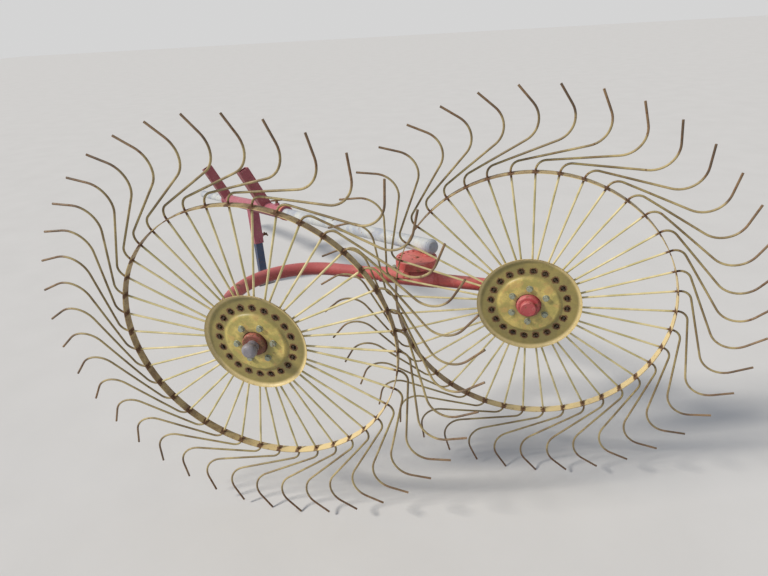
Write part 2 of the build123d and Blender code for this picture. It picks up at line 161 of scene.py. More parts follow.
rust, given, gives = group(
    "rust_coat",
    [
        ("Place", "Vector", None),
        ("Freckle Size", "Float", 30.0),
        ("Share", "Float", 0.3),
        ("Seed", "Float", 0.0),
    ],
    [("Mask", "Float"), ("Bloom", "Float"), ("Color", "Color"), ("Height", "Float")],
)
aside = put(rust, "ShaderNodeCombineXYZ", None, given["Seed"], 0.0, 0.0).outputs[0]
where = put(rust, "ShaderNodeVectorMath", {"operation": "ADD"}, given["Place"], aside).outputs[0]
patch = put(rust, "ShaderNodeTexNoise", None, where, Scale=given["Freckle Size"], Detail=6.0, Roughness=0.62)
fine = put(rust, "ShaderNodeTexNoise", None, where, Detail=4.0, Roughness=0.7)
rust.links.new(sums(rust, "MULTIPLY", given["Freckle Size"], 7.0), fine.inputs["Scale"])
frayed = sums(rust, "MULTIPLY", sums(rust, "SUBTRACT", fine.outputs[0], 0.5), 0.25)
depth = sums(rust, "ADD", patch.outputs[0], frayed)
# It is rusty where the noise passes a level, which nearly none of it does at 0.74 and nearly all at 0.24.
level = put(rust, "ShaderNodeMapRange", None, given["Share"], 0.0, 1.0, 0.74, 0.24).outputs[0]
over = sums(rust, "SUBTRACT", depth, level)
speck = put(rust, "ShaderNodeTexNoise", None, where, Detail=3.0, Roughness=0.6)
rust.links.new(sums(rust, "MULTIPLY", given["Freckle Size"], 3.3), speck.inputs["Scale"])
spotted = sums(rust, "SUBTRACT", speck.outputs[0], sums(rust, "ADD", level, 0.015))
grown = sums(rust, "MAXIMUM", over, sums(rust, "MULTIPLY", spotted, 1.4))
rust.links.new(sums(rust, "MULTIPLY", grown, 11.0, clamp=True), gives["Mask"])
rust.links.new(sums(rust, "MULTIPLY_ADD", over, 6.0, 0.45, clamp=True), gives["Bloom"])
tone = put(rust, "ShaderNodeValToRGB", None, fine.outputs[0])
stops = tone.color_ramp.elements
stops[0].position, stops[0].color = 0.30, (0.060, 0.031, 0.016, 1)
stops[1].position, stops[1].color = 0.72, (0.29, 0.150, 0.065, 1)
stops.new(0.52).color = (0.145, 0.074, 0.034, 1)
rust.links.new(tone.outputs[0], gives["Color"])
rust.links.new(fine.outputs[0], gives["Height"])


def rusty(tree, place, size, share, seed):
    """The rust coat's outputs, at a share of 0 to 1 and with about this many freckles a metre."""
    coat = put(tree, "ShaderNodeGroup", {"node_tree": rust}, place, Freckle_Size=size, Share=share, Seed=seed)
    return coat.outputs


def finish_paint(tree, shader, paint, mask, found, gloss, bump, stain=0.30):
    """Joins a paint colour and the rust found on it. The paint round the rust is stained."""
    stained = mixed(tree, sums(tree, "MULTIPLY", found["Bloom"], stain), paint, (0.33, 0.16, 0.07, 1))
    plug(tree, shader, "Base Color", mixed(tree, mask, stained, found["Color"]))
    rough = put(tree, "ShaderNodeMapRange", None, mask, 0.0, 1.0, gloss, 0.88).outputs[0]
    plug(tree, shader, "Roughness", rough)
    height = sums(tree, "MULTIPLY", sums(tree, "ADD", found["Height"], 1.0), sums(tree, "ADD", mask, 0.15))
    bumped = put(tree, "ShaderNodeBump", None, Strength=bump, Distance=0.0006, Height=height)
    plug(tree, shader, "Normal", bumped.outputs[0])


def wear(names, material):
    """Puts a finish on solids of the part."""
    for name in names:
        mesh = nodes[name].data
        mesh.materials.clear()
        mesh.materials.append(material)


# Each tine wheel is a thin steel band with 40 spring wires, 7 mm thick, that run through it from the disc.
# Straw-yellow paint has held on the spokes. The band's inner face is painted paler towards the right, partly
# paint that has held and partly a painted highlight, and it has more rust on its left side. It has rusted at
# the band's holes, and most of it has worn off the fingers that rake the ground.
TINES = 40
TIP_LEAD = 22.4             # the tip stands this many degrees past its wire's place in the band
RIM_RADIUS = 0.465          # middle of the band
RIM_FACES = (0.4642, 0.4658)
REST_TURN = -((180 - TIP_LEAD) % (360 / TINES))     # so each wheel rests on two tips
PAINT, WEATHERED, RUST_SHARE = 2, 3, 4      # columns of the table of tones
tine_tones = [
    # name, from this radius outward, paint, weathered paint, rust share
    # The hook row's near-black is partly rust and partly painted shade in the disc's holes.
    ("hook", 0.000, (0.060, 0.038, 0.018), (0.036, 0.022, 0.012), 0.14),
    ("spoke", 0.150, (0.680, 0.580, 0.310), (0.450, 0.390, 0.175), 0.08),
    ("band", 0.452, (0.450, 0.340, 0.150), (0.220, 0.145, 0.065), 0.30),
    ("elbow", 0.478, (0.330, 0.265, 0.110), (0.165, 0.120, 0.052), 0.30),
    ("run", 0.540, (0.430, 0.340, 0.155), (0.205, 0.150, 0.070), 0.24),
    ("finger", 0.655, (0.250, 0.160, 0.080), (0.095, 0.062, 0.034), 0.36),
]


def on_wheel(tree, place, side):
    """Turns Object coordinates into the wheel's own: x and y in its plane, z out of its front."""
    spin = joints[side + "_wheel_spin"]
    axis = Vector(spin["axis"])
    lean = atan2(axis.z, axis.y)
    mapping = put(tree, "ShaderNodeMapping", {"vector_type": "TEXTURE"}, place)
    mapping.inputs["Location"].default_value = spin["pos_m"]
    mapping.inputs["Rotation"].default_value = (pi / 2 + lean, 0, 0)
    return mapping.outputs[0]


polar, given, gives = group(
    "round_the_axle",
    [("Wheel Place", "Vector", None)],
    [("Radius", "Float"), ("Turn", "Float")],
)
xyz = put(polar, "ShaderNodeSeparateXYZ", None, given[0]).outputs
flat = put(polar, "ShaderNodeCombineXYZ", None, xyz[0], xyz[1], 0.0).outputs[0]
length = put(polar, "ShaderNodeVectorMath", {"operation": "LENGTH"}, flat).outputs["Value"]
polar.links.new(length, gives["Radius"])
polar.links.new(sums(polar, "DIVIDE", sums(polar, "ARCTAN2", xyz[1], xyz[0]), 2 * pi), gives["Turn"])


def banded(tree, radius, column, soft=0.012):
    """Mixes one column of the tine table by radius."""
    result = tine_tones[0][column]
    result = (*result, 1) if isinstance(result, tuple) else result
    for row in tine_tones[1:]:
        step = ramp(tree, radius, row[1] - soft, row[1] + soft)
        if isinstance(row[column], tuple):
            result = mixed(tree, step, result, (*row[column], 1))
        else:
            result = put(tree, "ShaderNodeMix", None, step, None, result, row[column]).outputs[0]
    return result


def near_marks(tree, turn, marks, first, radius):
    """Distance round the axle from the nearest of a ring of evenly spaced marks, in metres."""
    phase = sums(tree, "SUBTRACT", sums(tree, "MULTIPLY", turn, float(marks)), first)
    away = sums(tree, "ABSOLUTE", sums(tree, "SUBTRACT", phase, sums(tree, "ROUND", phase)))
    return sums(tree, "MULTIPLY", away, 2 * pi * radius / marks)


def tine_finish(side, seed):
    material, tree, shader, place = surface(side + "_tine_finish")
    round_axle = put(tree, "ShaderNodeGroup", {"node_tree": polar}, on_wheel(tree, place, side)).outputs
    radius = round_axle["Radius"]
    streak = put(tree, "ShaderNodeTexNoise", None, place, Scale=13.0, Detail=4.0, Roughness=0.6).outputs[0]
    streak = ramp(tree, streak, 0.36, 0.64)
    straw = mixed(tree, streak, banded(tree, radius, PAINT), banded(tree, radius, WEATHERED))
    wires = (REST_TURN / 360 + 0.25) * TINES + 0.5
    gap = near_marks(tree, round_axle["Turn"], TINES, wires, RIM_RADIUS)
    at_wire = ramp(tree, gap, 0.004, 0.014, 1.0, 0.0)
    off_band = sums(tree, "ABSOLUTE", sums(tree, "SUBTRACT", radius, RIM_RADIUS))
    hole = sums(tree, "MULTIPLY", at_wire, ramp(tree, off_band, 0.006, 0.016, 1.0, 0.0))
    xyz = put(tree, "ShaderNodeSeparateXYZ", None, place).outputs
    axle = joints[side + "_wheel_spin"]["pos_m"][0]
    on_band = ramp(tree, off_band, 0.003, 0.005, 1.0, 0.0)
    # The band's inner face is painted paler towards the right: partly paint that has held, partly a painted
    # highlight.
    lit_band_face = sums(tree, "MULTIPLY", on_band, ramp(tree, radius, *RIM_FACES, 0.8, 0.0))
    lit_band_face = sums(tree, "MULTIPLY", lit_band_face, ramp(tree, xyz["X"], axle - 0.22, axle + 0.10))
    straw = mixed(tree, lit_band_face, straw, (0.80, 0.63, 0.31, 1))
    share = sums(tree, "MULTIPLY_ADD", hole, 0.50, banded(tree, radius, RUST_SHARE))
    share = sums(tree, "MULTIPLY_ADD", lit_band_face, -0.16, share)
    share = sums(tree, "ADD", share, ramp(tree, xyz["Z"], 0.01, 0.16, 0.22, 0.0), clamp=True)
    found = rusty(tree, place, size=95.0, share=share, seed=seed)
    finish_paint(tree, shader, straw, found["Mask"], found, gloss=0.5, bump=0.4)
    return material


for side, seed in (("left", 3.0), ("right", 11.0)):
    wear([side + "_tine_wheel"], tine_finish(side, seed))

# The discs are pressed from sheet, painted mustard yellow. The dished middle has bleached, mud has dulled
# the ring of 20 holes in which the wires hook, and rust creeps out of each hole and along the rolled edge.
# The rolled edge is also painted paler all round as a painted highlight, and the disc is painted darker
# close round the hub as painted shade.
HOLES = 20
HOLE_CIRCLE = 0.1275
HUB_SHADE_RADII = (0.046, 0.060)            # radii between which each tone gives way to the next
DISH_EDGE = (0.096, 0.112)
LIT_ROLLED_EDGE = (0.1590, 0.1690)
FRONT_LIP = (0.1735, 0.1775)
CLAMP_LIP = (0.1440, 0.1500)


def disc_finish(side, seed, holed):
    """The holed front disc's finish, or the plain clamp disc's."""
    kind = "_disc_finish" if holed else "_clamp_disc_finish"
    material, tree, shader, place = surface(side + kind)
    axle = put(tree, "ShaderNodeGroup", {"node_tree": polar}, on_wheel(tree, place, side)).outputs
    radius = axle["Radius"]
    patch = put(tree, "ShaderNodeTexNoise", None, place, Scale=19.0, Detail=5.0, Roughness=0.62).outputs[0]
    grime = put(tree, "ShaderNodeTexNoise", None, place, Scale=60.0, Detail=5.0, Roughness=0.7).outputs[0]
    mustard = mixed(tree, ramp(tree, patch, 0.36, 0.62), (0.71, 0.55, 0.165, 1), (0.38, 0.33, 0.095, 1))
    ochre = put(tree, "ShaderNodeTexNoise", None, place, Scale=31.0, Detail=3.0).outputs[0]
    mustard = mixed(tree, ramp(tree, ochre, 0.52, 0.66, 0.0, 0.7), mustard, (0.56, 0.36, 0.12, 1))
    dulled = mixed(tree, ramp(tree, patch, 0.30, 0.62), (0.335, 0.27, 0.082, 1), (0.24, 0.20, 0.066, 1))
    paint = mixed(tree, ramp(tree, radius, *DISH_EDGE), mustard, dulled)
    # The rolled edge is painted paler all round: a painted highlight.
    paint = mixed(tree, ramp(tree, radius, *LIT_ROLLED_EDGE, 0.0, 0.72), paint, (0.78, 0.62, 0.31, 1))
    paint = mixed(tree, ramp(tree, grime, 0.42, 0.70, 0.0, 0.34), paint, (0.33, 0.26, 0.105, 1))
    # Close round the hub the disc is painted darker: painted shade where it meets the hub.
    paint = mixed(tree, ramp(tree, radius, *HUB_SHADE_RADII, 0.45, 0.0), paint, (0.16, 0.125, 0.065, 1))
    hooks = (REST_TURN / 360 + 0.25) * HOLES
    along = near_marks(tree, axle["Turn"], HOLES, hooks, HOLE_CIRCLE)
    out = sums(tree, "SUBTRACT", radius, HOLE_CIRCLE)
    squares = sums(tree, "ADD", sums(tree, "MULTIPLY", along, along), sums(tree, "MULTIPLY", out, out))
    ring = ramp(tree, sums(tree, "SQRT", squares), 0.0095, 0.0185, 0.62 if holed else 0.0, 0.0)
    lip = ramp(tree, radius, *(FRONT_LIP if holed else CLAMP_LIP), 0.0, 0.80)
    share = sums(tree, "ADD", sums(tree, "MAXIMUM", ring, lip), 0.15, clamp=True)
    found = rusty(tree, place, size=75.0, share=share, seed=seed)
    finish_paint(tree, shader, paint, found["Mask"], found, gloss=0.46, bump=0.35)
    return material


for side, seed in (("left", 5.0), ("right", 17.0)):
    wear([side + "_front_disc"], disc_finish(side, seed, True))
    wear([side + "_clamp_disc"], disc_finish(side, seed + 1, False))

# Six zinc-plated bolts with flat washers hold each front disc on its hub's flange, with a nut behind. The
# zinc has gone grey-green, and each head stopped at its own angle.
BOLT_CIRCLE = 0.064
BOLT_FLATS = 0.017
BOLT_HEAD = 0.0075
BOLT_RADIUS = 0.005
BOLT_STANDS = 0.0045        # past its nut
NUT_HEIGHT = 0.008
WASHER_RADIUS = 0.0115
WASHER = 0.002
DISC_FRONT = 0.0141         # heights in front of the band's middle
CLAMP_DISC_BACK = 0.0001
SIDES = 36                  # points round a turned or hexagonal form
FEWER_SIDES = 24            # and round a thin one


def closed_rings(name, rings):
    """A closed skin through rings of points, from the first ring's end face to the last one's."""
    count = len(rings[0])
    faces = [tuple(range(count))[::-1], tuple(range((len(rings) - 1) * count, len(rings) * count))]
    for low in range(len(rings) - 1):
        for i in range(count):
            j = (i + 1) % count
            a, b = low * count, (low + 1) * count
            faces.append((a + i, a + j, b + j, b + i))
    mesh = bpy.data.meshes.new(name)
    mesh.from_pydata([p for ring in rings for p in ring], [], faces)
    return mesh


def round_ring(radius, height, count):
    turns = [2 * pi * i / count for i in range(count)]
    return [(radius * cos(turn), radius * sin(turn), height) for turn in turns]


def hex_ring(flats, height, count, inner=None):
    """A ring on a hexagon. With inner it falls away from the height as a 30 degree chamfer cone does."""
    ring = []
    for i in range(count):
        turn = 2 * pi * i / count
        radius = flats / 2 / cos((turn + pi / 6) % (pi / 3) - pi / 6)
        fall = max(0.0, radius - inner) * tan(pi / 6) if inner else 0.0
        ring.append((radius * cos(turn), radius * sin(turn), height - fall))
    return ring


def joined(name, parts):
    """Joins (mesh, matrix) pairs into one mesh."""
    points, faces, smooth = [], [], []
    for mesh, matrix in parts:
        base = len(points)
        points += [tuple(matrix @ v.co) for v in mesh.vertices]
        faces += [tuple(base + i for i in p.vertices) for p in mesh.polygons]
        smooth += [p.use_smooth for p in mesh.polygons]
    mesh = bpy.data.meshes.new(name)
    mesh.from_pydata(points, [], faces)
    mesh.polygons.foreach_set("use_smooth", smooth)
    return mesh


def hex_head(name, flats, low, high, count=SIDES):
    """A hexagon with its upper corners turned off."""
    inner = flats / 2 * 0.96
    rings = [hex_ring(flats, low, count), hex_ring(flats, high, count, inner), round_ring(inner, high, count)]
    return closed_rings(name, rings)


def washer(name, radius, low, high, count=SIDES):
    """A flat round with its upper edge broken. It also makes the ends of bolts."""
    edge = (high - low) * 0.3
    rings = [round_ring(radius, low, count), round_ring(radius, high - edge, count)]
    return closed_rings(name, rings + [round_ring(radius - edge, high, count)])


def recipe(name, inputs):
    """A new geometry tree that takes and gives Geometry. Each further input is (name, kind, value)."""
    tree = bpy.data.node_groups.new(name, "GeometryNodeTree")
    tree.interface.new_socket("Geometry", in_out="INPUT", socket_type="NodeSocketGeometry")
    for label, kind, value in inputs:
        socket = tree.interface.new_socket(label, in_out="INPUT", socket_type="NodeSocket" + kind)
        if value is not None:
            socket.default_value = value
    tree.interface.new_socket("Geometry", in_out="OUTPUT", socket_type="NodeSocketGeometry")
    return tree, put(tree, "NodeGroupInput").outputs, put(tree, "NodeGroupOutput").inputs


def grow(name, mesh, tree, body, slot, matrix=Matrix(), **sizes):
    """Runs a geometry tree on a mesh, keeps the result as a plain mesh, and lets it ride on a body."""
    piece = bpy.data.objects.new(name, mesh)
    bpy.context.scene.collection.objects.link(piece)
    modifier = piece.modifiers.new("grow", "NODES")
    modifier.node_group = tree
    for item in tree.interface.items_tree:
        key = item.name.replace(" ", "_")
        if item.in_out == "INPUT" and key in sizes:
            modifier[item.identifier] = sizes[key]
    ready = piece.evaluated_get(bpy.context.evaluated_depsgraph_get())
    grown = bpy.data.meshes.new_from_object(ready)
    piece.modifiers.clear()
    piece.data = grown
    grown.name = name
    grown.transform(matrix)
    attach(piece, body)
    return piece


bolt_ring, given, gives = recipe(
    "ring_of_bolts",
    [
        ("Count", "Int", 6),
        ("Circle Radius", "Float", BOLT_CIRCLE),
        ("First Turn", "Float", 0.0),
        ("Seed", "Int", 1),
        ("Finish", "Material", None),
    ],
)
unfilled = {"fill_type": "NONE"}
circle = put(bolt_ring, "GeometryNodeMeshCircle", unfilled, given["Count"], given["Circle Radius"])
number = {"data_type": "FLOAT"}
one_flat = radians(60)
any_turn = put(bolt_ring, "FunctionNodeRandomValue", number, None, None, 0.0, one_flat, Seed=given["Seed"])
turned = put(bolt_ring, "ShaderNodeCombineXYZ", None, 0.0, 0.0, any_turn.outputs[1]).outputs[0]
on_ring = put(bolt_ring, "GeometryNodeInstanceOnPoints", None, circle.outputs[0])
bolt_ring.links.new(given["Geometry"], on_ring.inputs["Instance"])
bolt_ring.links.new(turned, on_ring.inputs["Rotation"])
first = put(bolt_ring, "ShaderNodeCombineXYZ", None, 0.0, 0.0, given["First Turn"]).outputs[0]
swung = put(bolt_ring, "GeometryNodeTransform", None, on_ring.outputs[0], Rotation=first)
real = put(bolt_ring, "GeometryNodeRealizeInstances", None, swung.outputs[0])
painted = put(bolt_ring, "GeometryNodeSetMaterial", None, real.outputs[0], Material=given["Finish"])
bolt_ring.links.new(painted.outputs[0], gives["Geometry"])


def wheel_place(side):
    """The matrix from the wheel's own frame, with x to the right, y up and z out of its front."""
    spin = joints[side + "_wheel_spin"]
    out = -Vector(spin["axis"]).normalized()
    across = Vector((1, 0, 0))
    turn = Matrix((across, out.cross(across), out)).transposed().to_4x4()
    return Matrix.Translation(spin["pos_m"]) @ turn


zinc, tree, shader, place = surface("old_zinc_finish")
dull = put(tree, "ShaderNodeTexNoise", None, place, Scale=160.0, Detail=4.0).outputs[0]
found = rusty(tree, place, size=120.0, share=0.30, seed=31.0)
grey_green = mixed(tree, dull, (0.24, 0.28, 0.21, 1), (0.40, 0.42, 0.32, 1))
finish_paint(tree, shader, grey_green, found["Mask"], found, gloss=0.42, bump=0.3)
shader.inputs["Metallic"].default_value = 0.25

bolt_head = joined(
    "bolt_head",
    [
        (washer("washer", WASHER_RADIUS, DISC_FRONT, DISC_FRONT + WASHER), Matrix()),
        (hex_head("head", BOLT_FLATS, DISC_FRONT + WASHER, DISC_FRONT + WASHER + BOLT_HEAD), Matrix()),
    ],
)
behind = Matrix.Translation((0, 0, CLAMP_DISC_BACK)) @ Matrix.Rotation(pi, 4, "X")
nut_top = WASHER + NUT_HEIGHT
bolt_nut = joined(
    "bolt_nut",
    [
        (washer("nut_washer", WASHER_RADIUS, 0.0, WASHER), behind),
        (hex_head("nut", BOLT_FLATS, WASHER, nut_top), behind),
        (washer("bolt_end", BOLT_RADIUS, nut_top, nut_top + BOLT_STANDS), behind),
    ],
)
for side, first_turn, seed in (("left", 5, 3), ("right", 29, 8)):
    for kind, mesh in (("heads", bolt_head), ("nuts", bolt_nut)):
        grow(
            f"{side}_disc_bolt_{kind}",
            mesh.copy(),
            bolt_ring,
            side + "_wheel",
            "bare_steel",
            wheel_place(side),
            First_Turn=radians(first_turn),
            Seed=seed,
            Finish=zinc,
        )

# The hubs are castings, once red. The left one has rusted brown with a grey ball-nosed cap, and the right
# one has kept more of its paint and has a flat red cap. Their faces turned towards the sun are painted paler,
# partly sun-bleach and partly a painted highlight, and the others darker as painted shade.


def red_finish(name, fresh, faded_and_lit, size, share, seed, bleach_and_light_from=(0, 0, 1), shadow_until=None):
    """Red paint with rust freckles. Faces turned towards the given direction are paler, partly sun-bleach
    and partly a painted highlight, and faces turned away are painted darker as painted shade.

    Left of the given place on the X axis it is painted a dark, brownish red as a painted shadow.
    """
    material, tree, shader, place = surface(name)
    facing = put(tree, "ShaderNodeTexCoord").outputs["Normal"]
    along = {"operation": "DOT_PRODUCT"}
    turned = put(tree, "ShaderNodeVectorMath", along, facing, bleach_and_light_from).outputs["Value"]
    cloud = put(tree, "ShaderNodeTexNoise", None, place, Scale=12.0, Detail=6.0, Roughness=0.65).outputs[0]
    scuff = put(tree, "ShaderNodeTexNoise", None, place, Scale=85.0, Detail=5.0, Roughness=0.7).outputs[0]
    # Faces turned towards the given direction take the faded colour: partly sun-bleach, partly a painted
    # highlight.
    up = sums(tree, "MULTIPLY_ADD", turned, 0.55, sums(tree, "MULTIPLY_ADD", cloud, 1.1, -0.36), clamp=True)
    paint = mixed(tree, up, fresh, faded_and_lit)
    paint = mixed(tree, ramp(tree, scuff, 0.54, 0.72, 0.0, 0.30), paint, (0.78, 0.46, 0.40, 1))
    paint = mixed(tree, ramp(tree, scuff, 0.30, 0.44, 0.38, 0.0), paint, (0.17, 0.040, 0.038, 1))
    # Faces turned away are painted darker: painted shade.
    below = sums(tree, "ADD", ramp(tree, turned, -0.75, 0.05, 0.55, 0.0), sums(tree, "MULTIPLY", scuff, 0.12))
    paint = mixed(tree, below, paint, (0.10, 0.030, 0.030, 1))
    if shadow_until is not None:
        # Left of the given X the paint is darkened: a painted shadow, the wheel's on the arm.
        across = put(tree, "ShaderNodeSeparateXYZ", None, place).outputs[0]
        painted_shadow = ramp(tree, across, shadow_until - 0.10, shadow_until, 0.42, 0.0)
        paint = mixed(tree, painted_shadow, paint, (0.27, 0.050, 0.060, 1))
    found = rusty(tree, place, size, share, seed)
    finish_paint(tree, shader, paint, found["Mask"], found, gloss=0.52, bump=0.35)
    return material


# The hubs' faces turned this way are painted paler, partly sun-bleach and partly a painted highlight.
sunward = (-0.7, 0, 0.7)
brown, faded_and_lit_brown = (0.15, 0.036, 0.028, 1), (0.54, 0.17, 0.12, 1)
brown_hub = red_finish("left_hub_finish", brown, faded_and_lit_brown, size=44.0, share=0.44, seed=2.0, bleach_and_light_from=sunward)
red, faded_and_lit_red = (0.44, 0.055, 0.060, 1), (0.68, 0.23, 0.22, 1)
red_hub = red_finish("right_hub_finish", red, faded_and_lit_red, size=40.0, share=0.25, seed=8.0, bleach_and_light_from=sunward)
wear(["left_hub"], brown_hub)
wear(["right_hub", "right_hub_cap"], red_hub)
grey_cap, tree, shader, place = surface("left_cap_finish")
dull = put(tree, "ShaderNodeTexNoise", None, place, Scale=70.0, Detail=6.0).outputs[0]
found = rusty(tree, place, size=80.0, share=0.24, seed=4.0)
grey = mixed(tree, dull, (0.165, 0.158, 0.180, 1), (0.29, 0.27, 0.29, 1))
finish_paint(tree, shader, grey, found["Mask"], found, gloss=0.5, bump=0.3)
wear(["left_hub_cap"], grey_cap)

# The arm is one bent tube in red paint. Its upper faces are painted coral, partly where the sun has bleached
# it and partly as a painted highlight, its lower faces are painted darker as painted shade, and its left end
# is darkened as the wheel's painted shadow. The crank plate and the boss that are welded to it carry the
# wheels' spindles. Its welds are hand-laid stick welds, painted over, so their ripples are uneven.
ARM_RADIUS = 0.024
ARM_DROP = 0.062            # its fall towards the right, per unit of length
ARM_END = 0.4502            # places along the arm, from the middle of the pivot sleeve
RIGHT_COLLAR_END = 0.0784
LEFT_COLLAR_END = -0.1364
COLLAR_SEAM_RADIUS = 0.0255
BOSS_RADIUS = 0.025
ARM_AT_BOSS = -0.087        # places in front of the band's middle
CRANK_BACK = -0.0454
PROUD = 0.001               # a bead's middle stands this far, or half of it, off the corner that it fills
WIDER = 1.02                # and its line is this much wider than the tube that it goes round
TUBE_ON_CRANK = Vector((-0.1156, 0.0681, 0))    # the tube's foot, from the left wheel's axle
FOOT_HALF_WIDE = 0.0285     # the tube is cut aslant there, so its foot is an ellipse
FOOT_HALF_HIGH = 0.0245
FOOT_TURN = radians(-3.5)
ARM_ABOVE_AXLE = 0.01165    # at the right wheel
BOSS_SEAM = (-26, 206)      # degrees of the boss's round that stand on the arm

red, coral_and_lit_red = (0.46, 0.055, 0.055, 1), (0.74, 0.215, 0.19, 1)
# The arm's upper faces take coral as a partly painted highlight, and its left end a painted shadow.
coral = red_finish("arm_finish", red, coral_and_lit_red, size=26.0, share=0.19, seed=1.0, shadow_until=0.42)
wear(["arm_tube", "arm_end_cap", "left_crank_plate", "right_boss", "left_collar", "right_collar"], coral)

bare, tree, shader, place = surface("bare_steel_finish")
found = rusty(tree, place, size=70.0, share=0.80, seed=6.0)
finish_paint(tree, shader, (0.20, 0.18, 0.16, 1), found["Mask"], found, gloss=0.45, bump=0.4)
wear(["left_spindle", "right_spindle", "leg_clamp_screw", "boom_clamp_screw"], bare)

weld_bead, given, gives = recipe(
    "weld_bead",
    [
        ("Bead Radius", "Float", 0.0035),
        ("Ripple Step", "Float", 0.004),
        ("Ripple Depth", "Float", 0.26),
        ("Seed", "Int", 1),
        ("Finish", "Material", None),
    ],
)
seam = put(weld_bead, "GeometryNodeMeshToCurve", None, given["Geometry"]).outputs[0]
by_length, by_radius = {"mode": "LENGTH"}, {"mode": "RADIUS"}
seam = put(weld_bead, "GeometryNodeResampleCurve", by_length, seam, Length=given["Ripple Step"]).outputs[0]
index = put(weld_bead, "GeometryNodeInputIndex").outputs[0]
odd = sums(weld_bead, "SUBTRACT", sums(weld_bead, "MODULO", index, 2.0), 0.5)
uneven = put(weld_bead, "FunctionNodeRandomValue", number, None, None, -0.7, 0.7, Seed=given["Seed"])
ripple = sums(weld_bead, "ADD", odd, uneven.outputs[1])
swell = sums(weld_bead, "MULTIPLY_ADD", ripple, given["Ripple Depth"], 1.0)
section = put(weld_bead, "GeometryNodeCurvePrimitiveCircle", by_radius, 8, Radius=given["Bead Radius"])
section = section.outputs[0]
bead = put(weld_bead, "GeometryNodeCurveToMesh", None, seam, section, Scale=swell, Fill_Caps=True)
bead = put(weld_bead, "GeometryNodeSetShadeSmooth", None, bead.outputs[0], Shade_Smooth=True)
bead = put(weld_bead, "GeometryNodeRealizeInstances", None, bead.outputs[0])
bead = put(weld_bead, "GeometryNodeSetMaterial", None, bead.outputs[0], Material=given["Finish"])
weld_bead.links.new(bead.outputs[0], gives["Geometry"])


def seams(name, lines):
    """A wire mesh of weld lines. Each line is (points, closed)."""
    points, edges = [], []
    for line, closed in lines:
        base, count = len(points), len(line)
        points += [tuple(p) for p in line]
        edges += [(base + i, base + i + 1) for i in range(count - 1)]
        if closed:
            edges.append((base + count - 1, base))
    mesh = bpy.data.meshes.new(name)
    mesh.from_pydata(points, edges, [])
    return mesh


def steps(low, high, count):
    return [low + (high - low) * i / (count - 1) for i in range(count)]


def hoop(matrix, radius, height, count=48):
    """A closed weld line round a tube."""
    return [matrix @ Vector(p) for p in round_ring(radius, height, count)], True


def beads(name, lines, body, finish, slot, radius, seed):
    """Lays weld beads along lines, as one piece that rides on a body."""
    sizes = {"Bead_Radius": radius, "Ripple_Step": radius * 1.3, "Seed": seed, "Finish": finish}
    return grow(name, seams(name, lines), weld_bead, body, slot, **sizes)


arm_pivot = Vector(joints["arm_rock"]["pos_m"])
arm_along = Vector(joints["arm_rock"]["axis"]).normalized()
ahead = Vector((0, -1, 0))
arm_up = arm_along.cross(-ahead).normalized()
arm_frame = Matrix.Translation(arm_pivot) @ Matrix((arm_up, ahead, arm_along)).transposed().to_4x4()
left_wheel, right_wheel = wheel_place("left"), wheel_place("right")


def round_arm(along, turn, radius):
    """A place on the arm's outside, z pointing away from it: turn is 0 in front and 90 on top."""
    tilt = radians(turn)
    out = ahead * cos(tilt) + arm_up * sin(tilt)
    cross = out.cross(arm_along)
    axes = Matrix((arm_along, cross, out)).transposed().to_4x4()
    return Matrix.Translation(arm_pivot + arm_along * along + out * radius) @ axes


on_crank = left_wheel @ Matrix.Translation(TUBE_ON_CRANK) @ Matrix.Rotation(FOOT_TURN, 4, "Z")
tube_foot = []
for x, y, height in round_ring(1, CRANK_BACK - PROUD, 40):
    tube_foot.append(on_crank @ Vector((FOOT_HALF_WIDE * x, FOOT_HALF_HIGH * y, height)))
boss_saddle = []
for turn in steps(*BOSS_SEAM, 40):
    x, y = BOSS_RADIUS * cos(radians(turn)), BOSS_RADIUS * sin(radians(turn))
    depth = sqrt(max(0.0, ARM_RADIUS**2 - (y - ARM_ABOVE_AXLE + x * ARM_DROP) ** 2))
    boss_saddle.append(right_wheel @ Vector((x * WIDER, y * WIDER, ARM_AT_BOSS + depth + PROUD)))
arm_seams = [
    (tube_foot, True),
    (boss_saddle, False),
    hoop(arm_frame, ARM_RADIUS - PROUD / 2, ARM_END),
    hoop(arm_frame, COLLAR_SEAM_RADIUS, RIGHT_COLLAR_END),
    hoop(arm_frame, COLLAR_SEAM_RADIUS, LEFT_COLLAR_END),
]
beads("arm_welds", arm_seams, "arm", coral, "red_paint", radius=0.0036, seed=4)


def add_piece(name, mesh, matrix, finish, body):
    """Adds a mesh as a piece that rides on a body."""
    mesh.transform(matrix)
    mesh.materials.append(finish)
    piece = bpy.data.objects.new(name, mesh)
    bpy.context.scene.collection.objects.link(piece)
    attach(piece, body)
    return piece


